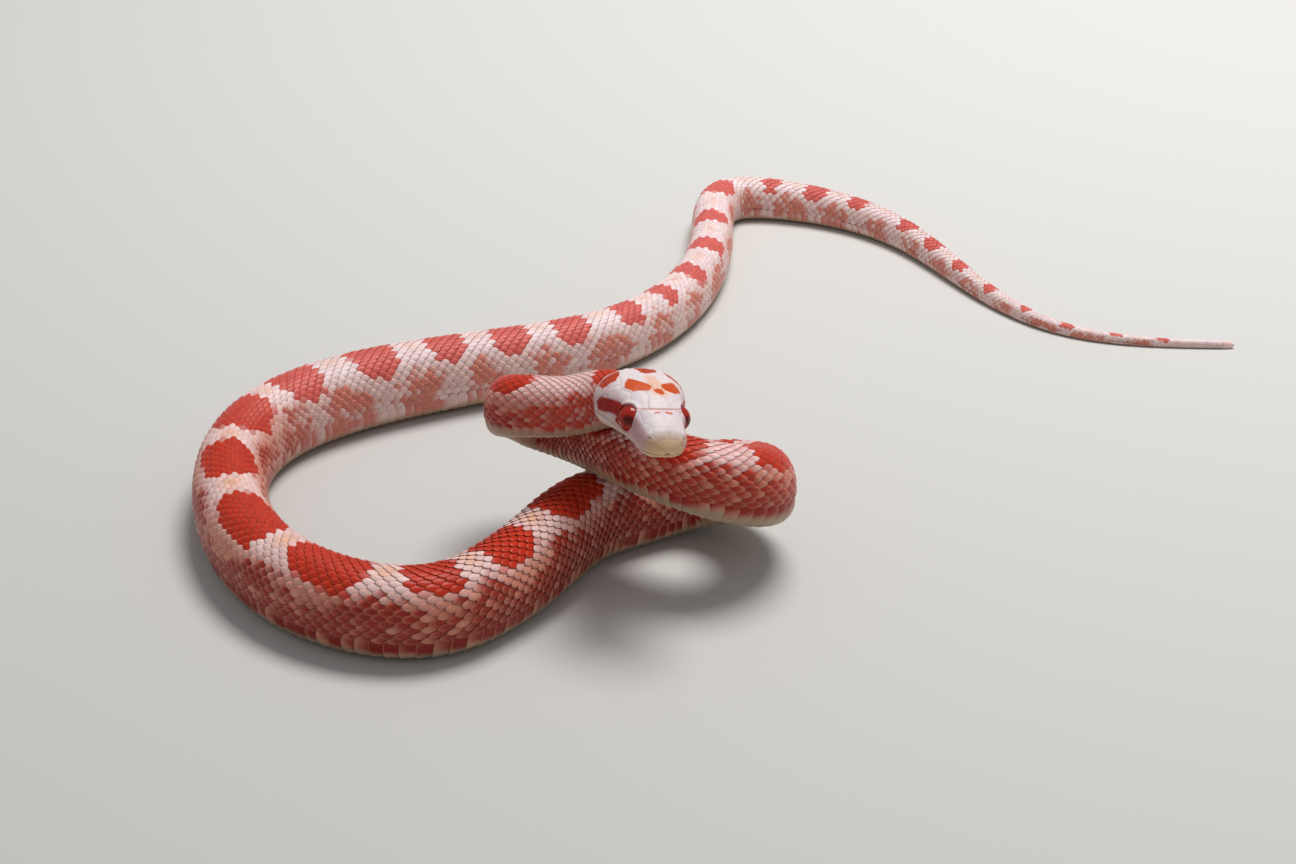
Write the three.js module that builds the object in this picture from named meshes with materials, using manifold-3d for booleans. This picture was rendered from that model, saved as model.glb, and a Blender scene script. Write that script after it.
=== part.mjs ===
// Young corn snake lying in one open loop, its neck coiled back over the body and its head raised.
// Millimetres, +Z up. The floor is z = 0 and the origin is the middle of the box's base.
import * as THREE from 'three';
import { mergeVertices } from 'three/addons/utils/BufferGeometryUtils.js';
import Module from 'manifold-3d';

const wasm = await Module();
wasm.setup();

// Driving dimensions of the body's section, as parts of its width
const BACK_HEIGHT = 0.61;
const BELLY_DEPTH = 0.48;
const BELLY_FLATNESS = 1.03;
const BACK_ROUNDNESS = 2.15;
const BELLY_ROUNDNESS = 3;

// Where the neck rests on the coil, the coil's back is pressed lower by this share of its height
const PRESSED = { at: 54, reach: 14, share: 0.15 };

// How finely the solids are faceted
const SIDES = 16;
const RING_STEP = 2.4;
const HEAD_RING_STEP = 0.8;
const SNOUT_RINGS = [0.04, 0.2, 0.5, 0.9, 1.4];
const EYE_SIDES = 14;
const EYE_RINGS = 9;

// The tail's end closes in a small dome: its length, and how far its rings lie from the tip
const TIP_ROUNDING = 1.4;
const TIP_RINGS = [0.9, 0.5, 0.2, 0.03];

// Gap left between neighbouring pieces
const GAP = 0.3;

// Head: where things lie is measured from the snout's tip along the spine
const HEAD_LENGTH = 15.6;
const SNOUT_ROUNDING = 1.9;
const HEAD_ROLL = THREE.MathUtils.degToRad(10);
const ROLL_HELD_TO = 9;
const ROLL_GONE_BY = 21;
const EYE = { along: 6.1, aside: 2.95, above: 0.5, radius: 1.55 };
const MOUTH = { cornerAt: 12.4, frontHeight: -0.75, dip: 0.75, cornerDrop: 0.8, slit: 0.3, step: 1.5 };

// Half width, height above the spine and depth below it, at distances from the snout's tip
const HEAD_PROFILE = [
  { at: 0, half: 2.3, above: 1.1, below: 1.5 },
  { at: 1.5, half: 2.8, above: 1.9, below: 1.9 },
  { at: 4, half: 3.2, above: 2.6, below: 2.35 },
  { at: 6.5, half: 3.8, above: 3.05, below: 2.75 },
  { at: 9.5, half: 5, above: 3.5, below: 3.2 },
  { at: 12, half: 5.6, above: 3.85, below: 3.35 },
  { at: 14.5, half: 5, above: 3.65, below: 3.2 },
  { at: 17.5, half: 3.6, above: 3.25, below: 3.1 },
  { at: 22, half: 3.25, above: 3.4, below: 3.1 },
];

// Stations that steer the spine from snout to tail tip: x, y, lift of the belly off the floor, width
const STATIONS = [
  // head, and the turn of the neck behind it, held above the coil
  [-11.6, -60.6, 21, 7],
  [-12.8, -56.6, 21.7, 7],
  [-14, -52.6, 22.3, 7],
  [-15.2, -48.6, 22.1, 6.8],
  [-16.4, -44.8, 20, 6.6],
  [-19.5, -42.2, 18.7, 6.5],
  [-24.2, -43, 17.4, 6.6],
  // left bend, where the neck doubles back under itself
  [-31, -41.5, 17.2, 7],
  [-32, -35, 12.7, 7.1],
  [-23.5, -33, 9.3, 7.1],
  // the coil that crosses over the body
  [-16, -46.5, 12.5, 7.6],
  [-7, -51.5, 11.2, 8.3],
  [0, -48, 7.5, 9.1],
  // right bend, down to the floor
  [0.5, -40.5, 4, 9.5],
  [-5, -35.5, 1.5, 9.7],
  [-11, -35.5, 0, 9.8],
  // under the coil and forward to the front of the loop
  [-16.5, -39, 0, 9.9],
  [-23.5, -43, 0, 10],
  [-27.5, -52, 0, 9.9],
  [-34, -61.5, 0, 9.8],
  [-41.5, -66.5, 0, 9.8],
  // round the left side of the loop
  [-55.5, -61.5, 0, 9.8],
  [-66, -47.5, 0, 9.6],
  [-70, -29.5, 0, 9.6],
  [-66.5, -16, 0, 9.9],
  [-54, -5.5, 0, 9.8],
  // the back of the loop, away to the far bend
  [-37, 1.5, 0, 9.1],
  [-20.5, 9, 0, 8.2],
  [-9.5, 23, 0, 7.3],
  [-4, 41, 0, 6.9],
  [-3.5, 56.5, 0, 6.8],
  [-2.7, 66.7, 0, 6.6],
  // far bend and the tail
  [4.5, 69, 0, 6.1],
  [18.8, 64.4, 0, 5.3],
  [29.5, 54, 0, 4.3],
  [36.5, 37, 0, 3],
  [45.5, 22.5, 0, 1.8],
  [58, 17.5, 0, 1.3],
  [74, 17, 0, 1],
];

// Middle of the stations' box, which the group is moved by so that its origin is the box's middle
const BOX_MIDDLE = { x: 0.224, y: 0.672 };

// The lengths that the body is divided into, and where each ends along the spine
const LENGTHS = [
  ['neck_front', 27],
  ['neck_rear', 35],
  ['trunk_01', 43],
  ['trunk_02', 52],
  ['trunk_03', 70],
  ['trunk_04', 79],
  ['trunk_05', 88],
  ['trunk_06', 97],
  ['trunk_07', 110],
  ['trunk_08', 122],
  ['trunk_09', 136],
  ['trunk_10', 150],
  ['trunk_11', 170],
  ['trunk_12', 192],
  ['trunk_13', 214],
  ['trunk_14', 240],
  ['trunk_15', 264],
  ['trunk_16', 290],
  ['trunk_17', 312],
  ['trunk_18', 323],
  ['trunk_19', 338],
  ['tail_01', 366],
  ['tail_02', 392],
  ['tail_tip', Infinity],
];

const COLOURS = {
  head: 0xead9dc,
  jaw: 0xf0e4dc,
  eye: 0x8a1515,
  red: 0xc8432a,
  pale: 0xe6c4bf,
};

// A uniform cubic B-spline through the stations' control polygon, holding x, y, height and width
class Spine extends THREE.Curve {
  constructor(stations) {
    super();
    const first = stations[0].map((value, i) => 2 * value - stations[1][i]);
    const last = stations.at(-1).map((value, i) => 2 * value - stations.at(-2)[i]);
    this.controls = [first, ...stations, last];
    this.arcLengthDivisions = 4000;
  }

  // The blend of the four controls round t, which runs from 0 to 1
  blend(t) {
    const spans = this.controls.length - 3;
    const place = Math.min(Math.max(t, 0), 1) * spans;
    const span = Math.min(Math.floor(place), spans - 1);
    const f = place - span;
    const weights = [(1 - f) ** 3, 3 * f ** 3 - 6 * f ** 2 + 4, -3 * f ** 3 + 3 * f ** 2 + 3 * f + 1, f ** 3];
    const blended = [0, 0, 0, 0];
    weights.forEach((weight, k) => {
      this.controls[span + k].forEach((value, i) => {
        blended[i] += (weight / 6) * value;
      });
    });
    return blended;
  }

  getPoint(t, target = new THREE.Vector3()) {
    const [x, y, lift, width] = this.blend(t);
    return target.set(x, y, lift + BELLY_DEPTH * width);
  }

  widthAt(u) {
    return this.blend(this.getUtoTmapping(u))[3];
  }
}

const spine = new Spine(STATIONS);
const LENGTH = spine.getLength();

function smoothstep(from, to, value) {
  const f = Math.min(Math.max((value - from) / (to - from), 0), 1);
  return f * f * (3 - 2 * f);
}

// Point, tangent towards the tail, back and left-hand directions at a distance from the snout's tip
function frameAt(distance) {
  const u = Math.min(Math.max(distance / LENGTH, 0), 1);
  const point = spine.getPointAt(u);
  const tangent = spine.getTangentAt(u);
  const up = new THREE.Vector3(0, 0, 1);
  const back = up.addScaledVector(tangent, -up.dot(tangent)).normalize();
  const left = new THREE.Vector3().crossVectors(tangent, back);
  const roll = HEAD_ROLL * (1 - smoothstep(ROLL_HELD_TO, ROLL_GONE_BY, distance));
  back.applyAxisAngle(tangent, -roll);
  left.applyAxisAngle(tangent, -roll);
  return { point, tangent, back, left };
}

// A place given by its distance along the spine, to the left of it and above it
function placeAt(distance, aside, above) {
  const frame = frameAt(distance);
  const beyond = Math.min(distance, 0);
  return frame.point
    .addScaledVector(frame.tangent, beyond)
    .addScaledVector(frame.left, aside)
    .addScaledVector(frame.back, above);
}

// The head's profile between its rows, eased so that it has no corners
function headProfile(distance) {
  const next = HEAD_PROFILE.findIndex((row) => row.at > distance);
  const b = HEAD_PROFILE[next];
  const a = HEAD_PROFILE[next - 1];
  const before = HEAD_PROFILE[Math.max(next - 2, 0)];
  const after = HEAD_PROFILE[Math.min(next + 1, HEAD_PROFILE.length - 1)];
  const f = (distance - a.at) / (b.at - a.at);
  const eased = (key) => {
    const slopeA = ((b[key] - before[key]) / (b.at - before.at)) * (b.at - a.at);
    const slopeB = ((after[key] - a[key]) / (after.at - a.at)) * (b.at - a.at);
    const rise = b[key] - a[key];
    return a[key] + f * (slopeA + f * (3 * rise - 2 * slopeA - slopeB + f * (slopeA + slopeB - 2 * rise)));
  };
  return { half: eased('half'), above: eased('above'), below: eased('below') };
}

// Height of the body's back over the spine, as a part of its width
function backHeight(distance) {
  const near = 1 - smoothstep(0, PRESSED.reach, Math.abs(distance - PRESSED.at));
  return BACK_HEIGHT * (1 - PRESSED.share * near);
}

// Share of the full section that is left where the tail's end closes in
function tipRounding(distance) {
  const closing = Math.min(Math.max((LENGTH - distance) / TIP_ROUNDING, 0), 1);
  return Math.sqrt(1 - (1 - closing) ** 2);
}

// Half width, height and depth of the section at a distance from the snout's tip
function sectionSize(distance) {
  const width = spine.widthAt(Math.min(Math.max(distance / LENGTH, 0), 1)) * tipRounding(distance);
  const body = { half: width / 2, above: backHeight(distance) * width, below: BELLY_DEPTH * width };
  const headEnd = HEAD_PROFILE.at(-1).at;
  if (distance >= headEnd) return body;
  const head = headProfile(distance);
  const closing = Math.min(distance / SNOUT_ROUNDING, 1);
  const rounding = Math.sqrt(1 - (1 - closing) ** 2);
  const share = smoothstep(HEAD_LENGTH, headEnd, distance);
  const mixed = (key) => rounding * THREE.MathUtils.lerp(head[key], body[key], share);
  return { half: mixed('half'), above: mixed('above'), below: mixed('below') };
}

// One ring of the section: a rounded back over a flat belly, first point just left of the back
function ring(distance) {
  const size = sectionSize(distance);
  const points = [];
  for (let i = 0; i < SIDES; i += 1) {
    const angle = ((i + 0.5) * 2 * Math.PI) / SIDES;
    const across = Math.sin(angle);
    const upward = Math.cos(angle);
    const upper = upward > 0;
    const tall = upper ? size.above : size.below * BELLY_FLATNESS;
    const power = upper ? BACK_ROUNDNESS : BELLY_ROUNDNESS;
    const sum = Math.abs(across / size.half) ** power + Math.abs(upward / tall) ** power;
    const radius = sum ** (-1 / power);
    points.push(placeAt(distance, radius * across, Math.max(radius * upward, -size.below)));
  }
  return points;
}

// A closed solid through a row of rings, with a fan over each end
function loft(distances) {
  const positions = [];
  const indices = [];
  distances.forEach((distance) => {
    ring(distance).forEach((p) => positions.push(p.x, p.y, p.z));
  });
  for (let r = 0; r + 1 < distances.length; r += 1) {
    for (let i = 0; i < SIDES; i += 1) {
      const a = r * SIDES + i;
      const b = r * SIDES + ((i + 1) % SIDES);
      indices.push(a, b, a + SIDES, b, b + SIDES, a + SIDES);
    }
  }
  const last = (distances.length - 1) * SIDES;
  for (let i = 1; i + 1 < SIDES; i += 1) {
    indices.push(0, i + 1, i);
    indices.push(last, last + i, last + i + 1);
  }
  const geometry = new THREE.BufferGeometry();
  geometry.setAttribute('position', new THREE.Float32BufferAttribute(positions, 3));
  geometry.setIndex(indices);
  return geometry;
}

// Distances from one end of a length to the other, no further apart than a step
function stepsBetween(from, to, step) {
  const count = Math.ceil((to - from) / step);
  return Array.from({ length: count + 1 }, (_, i) => from + ((to - from) * i) / count);
}

function toSolid(geometry) {
  const bare = geometry.clone();
  bare.deleteAttribute('normal');
  bare.deleteAttribute('uv');
  const merged = mergeVertices(bare, 1e-4);
  return new wasm.Manifold(new wasm.Mesh({
    numProp: 3,
    vertProperties: new Float32Array(merged.attributes.position.array),
    triVerts: new Uint32Array(merged.index.array),
  }));
}

function toGeometry(solid) {
  const mesh = solid.getMesh();
  const geometry = new THREE.BufferGeometry();
  geometry.setAttribute('position', new THREE.BufferAttribute(mesh.vertProperties, 3));
  geometry.setIndex(new THREE.BufferAttribute(mesh.triVerts, 1));
  return geometry;
}

function finish(name, geometry, colour, roughness) {
  geometry.computeVertexNormals();
  const mesh = new THREE.Mesh(
    geometry,
    new THREE.MeshStandardMaterial({ color: colour, roughness, metalness: 0 }),
  );
  mesh.name = name;
  return mesh;
}

// A ball round an eye's middle; side is 1 for the snake's left and -1 for its right
function eyeBall(side, radius) {
  const middle = placeAt(EYE.along, side * EYE.aside, EYE.above);
  return new THREE.SphereGeometry(radius, EYE_SIDES, EYE_RINGS).translate(middle.x, middle.y, middle.z);
}

// Height of the closed lips above the spine: they dip under the eye and rise to the mouth's corner
function mouthHeight(distance) {
  const f = Math.min(Math.max(distance / MOUTH.cornerAt, 0), 1);
  return MOUTH.frontHeight - MOUTH.dip * Math.sin(Math.PI * f * MOUTH.cornerDrop);
}

// The thin slit that parts the lower jaw from the head: back along the lips, then down behind the jaw
function mouthSlit() {
  const reach = 6;
  const steps = stepsBetween(-1, MOUTH.cornerAt, MOUTH.step);
  const shape = new THREE.Shape();
  shape.moveTo(steps[0], mouthHeight(steps[0]));
  steps.slice(1).forEach((d) => shape.lineTo(d, mouthHeight(d)));
  shape.lineTo(MOUTH.cornerAt + MOUTH.slit, mouthHeight(MOUTH.cornerAt));
  shape.lineTo(MOUTH.cornerAt + MOUTH.slit, -reach);
  shape.lineTo(MOUTH.cornerAt, -reach);
  steps.reverse().forEach((d) => shape.lineTo(d, mouthHeight(d) - MOUTH.slit));
  const slab = new THREE.ExtrudeGeometry(shape, { depth: 2 * reach, bevelEnabled: false });
  const place = slab.attributes.position;
  for (let i = 0; i < place.count; i += 1) {
    const bent = placeAt(place.getX(i), place.getZ(i) - reach, place.getY(i));
    place.setXYZ(i, bent.x, bent.y, bent.z);
  }
  return slab;
}

// The head with its eye sockets and mouth slit cut, as an upper piece and a lower jaw
function headPieces() {
  const rest = stepsBetween(SNOUT_ROUNDING, HEAD_LENGTH - GAP / 2, HEAD_RING_STEP);
  let solid = toSolid(loft([...SNOUT_RINGS, ...rest]));
  [1, -1].forEach((side) => {
    solid = solid.subtract(toSolid(eyeBall(side, EYE.radius + GAP)));
  });
  const halves = solid.subtract(toSolid(mouthSlit())).decompose();
  halves.sort((a, b) => b.volume() - a.volume());
  return halves.slice(0, 2).map(toGeometry);
}

const snake = new THREE.Group();

const [upperHead, lowerJaw] = headPieces();
snake.add(finish('head', upperHead, COLOURS.head, 0.4));
snake.add(finish('lower_jaw', lowerJaw, COLOURS.jaw, 0.4));
snake.add(finish('eye_left', eyeBall(1, EYE.radius), COLOURS.eye, 0.1));
snake.add(finish('eye_right', eyeBall(-1, EYE.radius), COLOURS.eye, 0.1));

let start = HEAD_LENGTH;
LENGTHS.forEach(([name, end], i) => {
  const isTip = end === Infinity;
  const stop = isTip ? LENGTH - TIP_ROUNDING : end - GAP / 2;
  const rings = stepsBetween(start + GAP / 2, stop, RING_STEP);
  if (isTip) rings.push(...TIP_RINGS.map((left) => LENGTH - left));
  snake.add(finish(name, loft(rings), i % 2 ? COLOURS.pale : COLOURS.red, 0.45));
  start = end;
});

snake.position.set(-BOX_MIDDLE.x, -BOX_MIDDLE.y, 0);

export default snake;
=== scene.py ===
"""Life-size young corn snake: fine skin, overlapping scales, head shields and eyes on the fixed frame.

Lengths are millimetres until make_mesh turns them into metres. A place on the animal is its distance
along the spine from the snout's tip and its share of the girth: 0 on the mid-line of the back,
1 on the mid-line of the belly, positive to the snake's left.
"""

import math
from types import SimpleNamespace as Named

import bpy
import numpy as np
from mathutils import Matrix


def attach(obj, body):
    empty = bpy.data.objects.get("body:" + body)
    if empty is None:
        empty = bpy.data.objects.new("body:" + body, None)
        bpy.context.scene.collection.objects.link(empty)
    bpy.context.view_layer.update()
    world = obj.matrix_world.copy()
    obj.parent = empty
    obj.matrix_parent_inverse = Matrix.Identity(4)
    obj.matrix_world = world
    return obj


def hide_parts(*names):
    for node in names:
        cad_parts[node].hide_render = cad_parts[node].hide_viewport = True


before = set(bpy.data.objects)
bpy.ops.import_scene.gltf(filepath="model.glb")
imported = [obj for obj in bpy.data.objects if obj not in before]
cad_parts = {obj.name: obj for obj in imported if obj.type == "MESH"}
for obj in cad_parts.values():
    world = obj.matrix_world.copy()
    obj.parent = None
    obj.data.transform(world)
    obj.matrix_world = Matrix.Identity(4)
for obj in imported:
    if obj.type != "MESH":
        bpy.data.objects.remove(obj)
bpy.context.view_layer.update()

MM = 0.001
SEED = 11

# Section of the body, as parts of its width
BACK_HEIGHT = 0.61
BELLY_DEPTH = 0.48
BELLY_FLATNESS = 1.03
BACK_ROUNDNESS = 2.15
BELLY_ROUNDNESS = 3

# The tail's end closes in a small dome of this length
TIP_ROUNDING = 1.4

# Where the neck rests on the coil, the coil's back is pressed lower by this share of its height
PRESSED = Named(at=54, reach=14, share=0.15)

# Head
HEAD_LENGTH = 15.6
SNOUT_ROUNDING = 1.9
HEAD_ROLL = math.radians(10)
ROLL_HELD_TO = 9
ROLL_GONE_BY = 21
EYE = Named(along=6.1, aside=2.95, above=0.5, radius=1.55)
MOUTH = Named(corner_at=12.4, front_height=-0.75, dip=0.75)

# Distance from the snout's tip, half width, height above the spine, depth below it
HEAD_PROFILE = np.array([
    (0, 2.3, 1.1, 1.5),
    (1.5, 2.8, 1.9, 1.9),
    (4, 3.2, 2.6, 2.35),
    (6.5, 3.8, 3.05, 2.75),
    (9.5, 5, 3.5, 3.2),
    (12, 5.6, 3.85, 3.35),
    (14.5, 5, 3.65, 3.2),
    (17.5, 3.6, 3.25, 3.1),
    (22, 3.25, 3.4, 3.1),
])

# Stations that steer the spine from snout to tail tip: x, y, lift of the belly off the floor, width
STATIONS = np.array([
    # head, and the turn of the neck behind it
    (-11.6, -60.6, 21, 7), (-12.8, -56.6, 21.7, 7), (-14, -52.6, 22.3, 7), (-15.2, -48.6, 22.1, 6.8),
    (-16.4, -44.8, 20, 6.6), (-19.5, -42.2, 18.7, 6.5), (-24.2, -43, 17.4, 6.6),
    # left bend, where the neck doubles back under itself
    (-31, -41.5, 17.2, 7), (-32, -35, 12.7, 7.1), (-23.5, -33, 9.3, 7.1),
    # the coil that crosses over the body
    (-16, -46.5, 12.5, 7.6), (-7, -51.5, 11.2, 8.3), (0, -48, 7.5, 9.1),
    # right bend, down to the floor
    (0.5, -40.5, 4, 9.5), (-5, -35.5, 1.5, 9.7), (-11, -35.5, 0, 9.8),
    # under the coil and forward to the front of the loop
    (-16.5, -39, 0, 9.9), (-23.5, -43, 0, 10), (-27.5, -52, 0, 9.9), (-34, -61.5, 0, 9.8),
    (-41.5, -66.5, 0, 9.8),
    # round the left side of the loop
    (-55.5, -61.5, 0, 9.8), (-66, -47.5, 0, 9.6), (-70, -29.5, 0, 9.6), (-66.5, -16, 0, 9.9),
    (-54, -5.5, 0, 9.8),
    # the back of the loop, away to the far bend
    (-37, 1.5, 0, 9.1), (-20.5, 9, 0, 8.2), (-9.5, 23, 0, 7.3), (-4, 41, 0, 6.9), (-3.5, 56.5, 0, 6.8),
    (-2.7, 66.7, 0, 6.6),
    # far bend and the tail
    (4.5, 69, 0, 6.1), (18.8, 64.4, 0, 5.3), (29.5, 54, 0, 4.3), (36.5, 37, 0, 3), (45.5, 22.5, 0, 1.8),
    (58, 17.5, 0, 1.3), (74, 17, 0, 1),
])
BOX_MIDDLE = np.array([0.224, 0.672, 0])
VENT_AT = 338

# Coat: how far the skin lies inside the solids, as a part of the body's width
COAT_DEPTH = 0.022
HEAD_COAT_DEPTH = 0.03

# The back's scales end and the belly's scutes begin at this share of the girth
BELLY_EDGE = 0.585
# Rows of scales round the back at distances along the spine
ROWS_AT = np.array([
    (0, 25), (45, 25), (95, 27), (225, 27), (318, 19), (352, 15), (380, 11), (402, 8), (416, 6.5),
])
# A scale's step along its row, in row spacings, and its own length and width in steps and spacings
ROW_STEP = 1.95
SCALE_LENGTH = 1.30
SCALE_WIDTH = 1.62
SCALE_DOME = 0.10
SCALE_CORNERS = 1.6

# Saddles on the back: where each begins and ends along the spine
SADDLES = np.array([
    (15.5, 20.5), (29, 35), (40, 47), (51, 58), (61, 68.3), (73, 82.5),
    (86.5, 93.5), (97, 105), (108.5, 119.3), (124, 132), (135.3, 142), (146, 157),
    (161, 173.5), (178.5, 188), (191, 200.3), (203.8, 211), (216.3, 223), (228, 233.2),
    (237.5, 243), (247, 252.3), (257.5, 262), (267, 270.8), (276, 280.5), (287, 291.5),
    (298.5, 303), (311, 317), (323.5, 326.5), (331, 334.5), (339, 342.5), (350, 353.5),
    (357, 360.5), (365.5, 368.5), (374, 376.5), (382, 384), (389.5, 391.5), (397, 399),
    (404, 406),
])
# How far a saddle reaches down the side, how much further in places, and how square its outline is
SADDLE = Named(
    reach=0.255, sway=0.03, rear=0.04, coil=0.06,
    end_power=2.6, side_power=2.8, grain=0.10, soft=0.08,
)
# Pale bands part at a gap's foot and run down to meet under the saddle: girth shares, and half width
BAND = Named(
    top=0.15, foot=0.37, half=0.30, narrower=0.35, narrows=(0.5, 1.2), lean=0.22,
    neck=0.08, rear=0.15, coil=0.1,
)
# Red of the flank: where it ends round the girth, its strength, and what breaks it up. A name of a
# region, such as neck, says by how much the value before it differs there.
FLANK = Named(
    end=0.72, raised=0.075, ragged=0.045, edge=0.05, fade=0.5,
    strength=0.50, neck=0.15, blotch=0.62, blotch_sway=0.15,
    wave=1.1, patches=0.22, grain=0.42, neck_grain=0.15, tip=0.34, coil_tip=0.16,
    soft=(-0.25, 0.42), cover=0.95, rear_less=0.1, nape_less=0.7,
)
# Small waves in the outlines of all marks: size, and turns along the spine and round the girth
WAVES = ((0.09, 1.9, 7), (0.07, 3.7, -11))
# Shares of the girth over which the pale ground dulls, painted shade darkens the side, and the belly's
# cream begins
DULLS = (0.14, 0.33)
PAINTED_SHADE_SPAN = (0.42, 0.60)
# How much painted shade darkens the lower side
SIDE_PAINTED_SHADE = 0.22
CREAM_BEGINS = (0.66, 0.74)
CREAM = Named(raised=0.05, grain=0.02)
# Orange tinge on the middle of the back in a gap: how far it reaches along and aside, and its strength
TINGE = Named(along=0.55, aside=0.085, strength=0.8, least_gap=0.1)
# The pale ground: how much whiter or redder it gets, and how a raised scale's root reddens
PALE = Named(neck_white=0.35, blush=0.12, root_red=0.55, root=(-0.5, 0.6), nape_white=0.65)
# How much less blush, tinge and painted shade the rear has, and how rosy its saddles are
REAR = Named(blush=0.6, tinge=0.5, shade=0.6, rose=0.8)
# How far the coil's flanks take the neck's brighter red
COIL_RED = 0.45
# Stretches of the spine over which the markings change
NAPE_ENDS = (14, 18.5)
NECK_ENDS = (26, 36)
COIL_BEGINS = (56, 64)
RAISED_ENDS = (90, 100)
TINGE_BEGINS = (90, 118)
REAR_BEGINS = (185, 215)


def rgb(*parts):
    """A linear colour."""
    return np.array(parts)


SADDLE_RED = rgb(0.56, 0.026, 0.009)
SADDLE_ROSE = rgb(0.77, 0.175, 0.165)
# Orange rim of a red scale: partly its own paler edge and partly a painted highlight
SADDLE_EDGE_AND_HIGHLIGHT = rgb(0.76, 0.11, 0.045)
WHITE = rgb(0.95, 0.65, 0.63)
GAP_ORANGE = rgb(0.92, 0.42, 0.19)
FLANK_RED = rgb(0.33, 0.011, 0.005)
NECK_RED = rgb(0.60, 0.034, 0.014)
# The rear's flank red: partly its own colour and partly painted light, paler where the rear lies less
# shaded
FLANK_ROSE_PAINTED_LIGHT = rgb(0.66, 0.16, 0.11)
FLANK_PALE = rgb(0.80, 0.32, 0.21)
# The rear's pale ground: partly its own colour and partly painted light, paler where the rear lies less
# shaded
REAR_PALE_PAINTED_LIGHT = rgb(0.90, 0.66, 0.62)
REAR_WHITE = rgb(0.97, 0.77, 0.79)
# The belly's cream: partly its own colour and partly painted shade, darkened as the underside lies in shade
BELLY_CREAM_PAINTED_SHADE = rgb(0.55, 0.38, 0.25)
CROWN_WHITE = rgb(0.86, 0.77, 0.80)
CHEEK_PINK = rgb(0.62, 0.36, 0.36)
ROSTRAL_TAN = rgb(0.80, 0.52, 0.27)
LIP_PALE = rgb(0.74, 0.60, 0.52)
HEAD_RED = rgb(0.68, 0.085, 0.008)
STRIPE_RED = rgb(0.38, 0.015, 0.008)
SUTURE_RED = rgb(0.66, 0.11, 0.05)
SUTURE_PINK = rgb(0.62, 0.36, 0.34)
SKIN_ROSE = rgb(0.58, 0.13, 0.08)
# Painted shade that darkens the skin in the gaps under the scales
SKIN_GAP_PAINTED_SHADE = rgb(0.75, 0.62, 0.60)

rng = np.random.default_rng(SEED)


def smoothstep(start, end, value):
    f = np.clip((value - start) / (end - start), 0, 1)
    return f * f * (3 - 2 * f)


def mix(a, b, share):
    share = np.asarray(share)[..., None]
    return a * (1 - share) + b * share


def blend(a, b, share):
    """Plain numbers mixed by a share."""
    return a * (1 - share) + b * share


def bell(value, width):
    """1 where a value is 0, and close to 0 at twice the width on either side."""
    return np.exp(-(value / width) ** 2)


def unit(vectors):
    return vectors / np.linalg.norm(vectors, axis=-1, keepdims=True)


# The spine

def spine_table(samples=12000):
    """Distance, point, tangent, back, left and width along the cubic B-spline that the stations steer."""
    first = 2 * STATIONS[0] - STATIONS[1]
    last = 2 * STATIONS[-1] - STATIONS[-2]
    controls = np.vstack([first, STATIONS, last])
    spans = len(controls) - 3
    place = np.linspace(0, spans, samples)
    span = np.minimum(place.astype(int), spans - 1)
    f = (place - span)[:, None]
    weights = ((1 - f) ** 3, 3 * f ** 3 - 6 * f ** 2 + 4, -3 * f ** 3 + 3 * f ** 2 + 3 * f + 1, f ** 3)
    blended = sum(weight / 6 * controls[span + k] for k, weight in enumerate(weights))
    width = blended[:, 3]
    point = blended[:, :3].copy()
    point[:, 2] += BELLY_DEPTH * width
    steps = np.linalg.norm(np.diff(point, axis=0), axis=1)
    distance = np.concatenate([[0], np.cumsum(steps)])
    tangent = unit(np.gradient(point, axis=0))
    back = unit(np.array([0, 0, 1.0]) - tangent[:, 2:3] * tangent)
    left = np.cross(tangent, back)
    roll = HEAD_ROLL * (1 - smoothstep(ROLL_HELD_TO, ROLL_GONE_BY, distance))
    cos, sin = np.cos(roll)[:, None], np.sin(roll)[:, None]
    back, left = back * cos + left * sin, left * cos - back * sin
    return distance, np.hstack([point - BOX_MIDDLE, tangent, back, left, width[:, None]])


SPINE_AT, SPINE = spine_table()
LENGTH = SPINE_AT[-1]


def spine_frame(s):
    columns = np.stack([np.interp(s, SPINE_AT, SPINE[:, k]) for k in range(SPINE.shape[1])], -1)
    return columns[..., 0:3], columns[..., 3:6], columns[..., 6:9], columns[..., 9:12], columns[..., 12]


def head_profile(s):
    """The head's sizes between the rows of its profile, eased so that it has no corners."""
    at, rows = HEAD_PROFILE[:, 0], HEAD_PROFILE[:, 1:]
    slopes = np.vstack([
        (rows[1] - rows[0]) / (at[1] - at[0]),
        (rows[2:] - rows[:-2]) / (at[2:] - at[:-2])[:, None],
        (rows[-1] - rows[-2]) / (at[-1] - at[-2]),
    ])
    k = np.clip(np.searchsorted(at, s, side="right") - 1, 0, len(at) - 2)
    gap = (at[k + 1] - at[k])[..., None]
    f = (s - at[k])[..., None] / gap
    start, end = slopes[k] * gap, slopes[k + 1] * gap
    rise = rows[k + 1] - rows[k]
    return rows[k] + f * (start + f * (3 * rise - 2 * start - end + f * (start + end - 2 * rise)))


def back_height(s):
    """Height of the body's back over the spine, as a part of its width."""
    near = 1 - smoothstep(0, PRESSED.reach, np.abs(s - PRESSED.at))
    return BACK_HEIGHT * (1 - PRESSED.share * near)


def dome(share):
    """Half width of a round dome at a share of its length, as a part of its base's."""
    return np.sqrt(1 - (1 - np.clip(share, 0, 1)) ** 2)


def section_size(s, width):
    """Half width, height and depth of the section."""
    full = width * dome((LENGTH - s) / TIP_ROUNDING)
    body = np.stack([full / 2, back_height(s) * full, BELLY_DEPTH * full], -1)
    inside = np.clip(s, 0, HEAD_PROFILE[-1, 0] - 1e-6)
    head = head_profile(inside) * dome(inside / SNOUT_ROUNDING)[..., None]
    return mix(head, body, smoothstep(HEAD_LENGTH, HEAD_PROFILE[-1, 0], s))


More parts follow.
